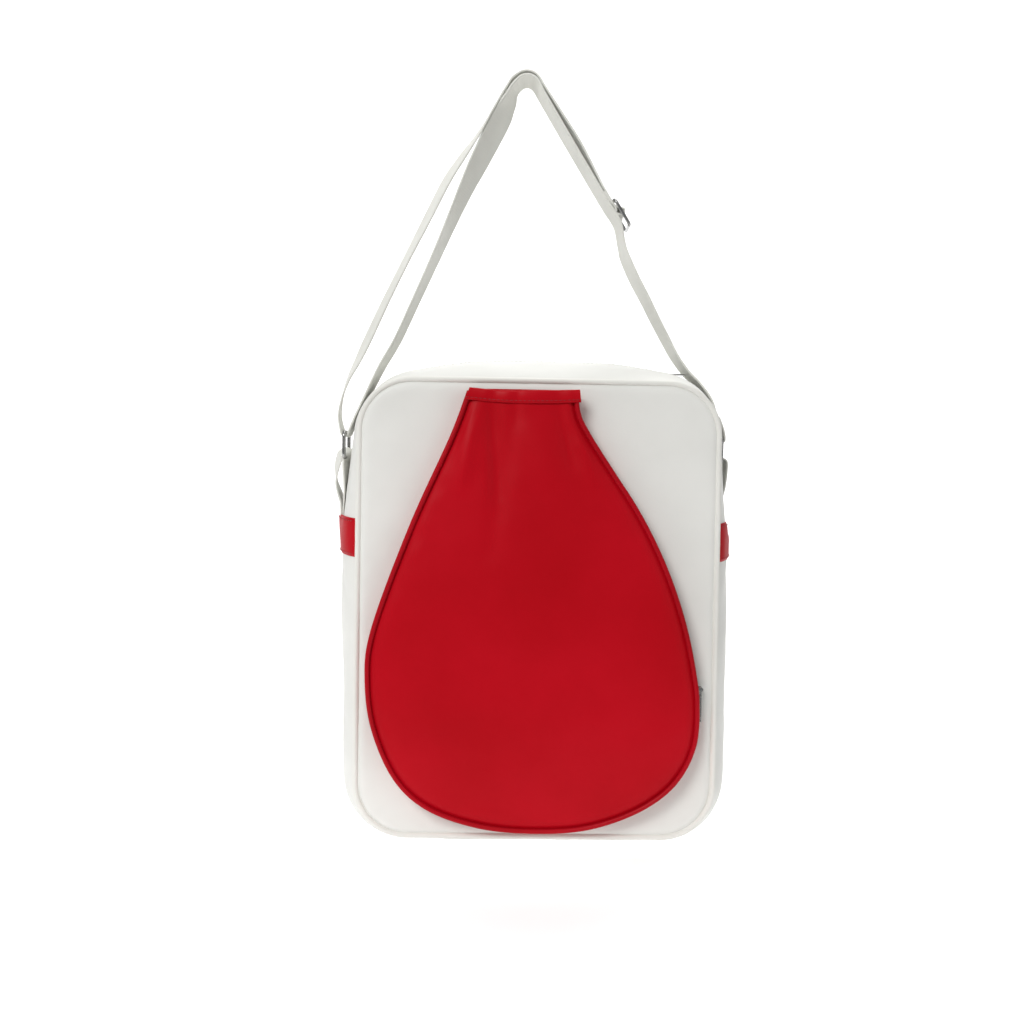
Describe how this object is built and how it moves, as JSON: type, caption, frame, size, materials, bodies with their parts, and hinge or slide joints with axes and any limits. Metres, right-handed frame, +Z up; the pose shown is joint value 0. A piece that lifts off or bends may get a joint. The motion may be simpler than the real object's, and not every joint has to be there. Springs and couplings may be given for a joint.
{
  "type": "racket shoulder bag",
  "caption": "Rectangular paddle case worn on an adjustable shoulder strap, with a zipped main compartment and a teardrop racket pocket on the front.",
  "frame": {"origin": "underside of the shoulder strap at its peak, where it hangs over a hook", "axes": "+Z up, front of the bag and racket pocket face -Y, +X to the right seen from the front"},
  "size_m": [0.3402, 0.1122, 0.6336],
  "materials": {
    "white_leather": "satin",
    "red_leather": "satin",
    "webbing": "matte",
    "metal": "polished",
    "lining": "matte",
    "foam": "matte",
    "board": "matte",
    "white_zip_tape": "matte",
    "white_zip_coil": "satin",
    "red_zip_tape": "matte",
    "red_zip_coil": "satin"
  },
  "bodies": {
    "strap": {"strap_inner_run": "webbing", "strap_outer_run": "webbing", "strap_outer_right": "webbing"},
    "bag": {"front_panel": "white_leather", "back_panel": "white_leather", "front_piping": "white_leather", "back_piping": "white_leather", "lower_gusset": "white_leather", "upper_gusset_left": "white_leather", "upper_gusset_right": "white_leather", "zip_panel_front": "white_leather", "zip_panel_rear": "white_leather", "ring_tab_left": "white_leather", "ring_tab_right": "white_leather", "side_band_left": "red_leather", "side_band_right": "red_leather", "pocket_front": "red_leather", "pocket_wall": "red_leather", "pocket_piping": "red_leather", "pocket_collar": "red_leather", "strap_left_loop": "webbing", "strap_right_leg": "webbing", "tab_rivet_left": "metal", "tab_rivet_right": "metal", "zip_stops": "metal", "lining_front": "lining", "lining_back": "lining", "gusset_lining": "lining", "slip_pocket": "lining", "front_foam": "foam", "back_board": "board", "base_board": "board", "zip_tape_front": "white_zip_tape", "zip_tape_rear": "white_zip_tape", "zip_coil_front": "white_zip_coil", "zip_coil_rear": "white_zip_coil", "pocket_zip_tapes": "red_zip_tape", "pocket_zip_coils": "red_zip_coil"},
    "adjuster": {"adjuster_frame": "metal", "adjuster_bar": "metal", "strap_sewn_end": "webbing"},
    "left_ring": {"ring_left": "metal"},
    "right_ring": {"ring_right": "metal"},
    "zip_slider": {"zip_slider": "metal"},
    "zip_pull": {"zip_pull": "metal"},
    "pocket_slider": {"pocket_slider": "metal"},
    "pocket_pull": {"pocket_pull": "metal"}
  },
  "joints": [
    {"name": "bag_swing", "type": "hinge", "parent": "strap", "child": "bag", "pos_m": [0, 0, -0.224], "axis": [1, 0, 0], "range_deg": [-90, 90]},
    {"name": "adjuster_slide", "type": "slide", "parent": "strap", "child": "adjuster", "axis": [-0.5272, 0, 0.8497], "range_m": [0, 0.09], "deforming": ["strap_outer_right"]},
    {"name": "left_ring_tilt", "type": "hinge", "parent": "bag", "child": "left_ring", "pos_m": [-0.1498, 0, -0.2905], "axis": [0, 1, 0], "range_deg": [0, 8]},
    {"name": "right_ring_tilt", "type": "hinge", "parent": "bag", "child": "right_ring", "pos_m": [0.1778, 0, -0.2905], "axis": [0, -1, 0], "range_deg": [0, 8]},
    {"name": "zip_travel", "type": "slide", "parent": "bag", "child": "zip_slider", "axis": [-1, 0, 0], "range_m": [0, 0.192]},
    {"name": "zip_pull_flip", "type": "hinge", "parent": "zip_slider", "child": "zip_pull", "pos_m": [0.112, 0, -0.2344], "axis": [0, -1, 0], "range_deg": [0, 165]},
    {"name": "pocket_zip_travel", "type": "hinge", "parent": "bag", "child": "pocket_slider", "pos_m": [-0.223, -0.0541, -0.542], "axis": [0, -1, 0], "range_deg": [0, 27]},
    {"name": "pocket_pull_swing", "type": "hinge", "parent": "pocket_slider", "child": "pocket_pull", "pos_m": [0.14641, -0.0541, -0.49337], "axis": [0, -1, 0], "range_deg": [0, 120]}
  ]
}
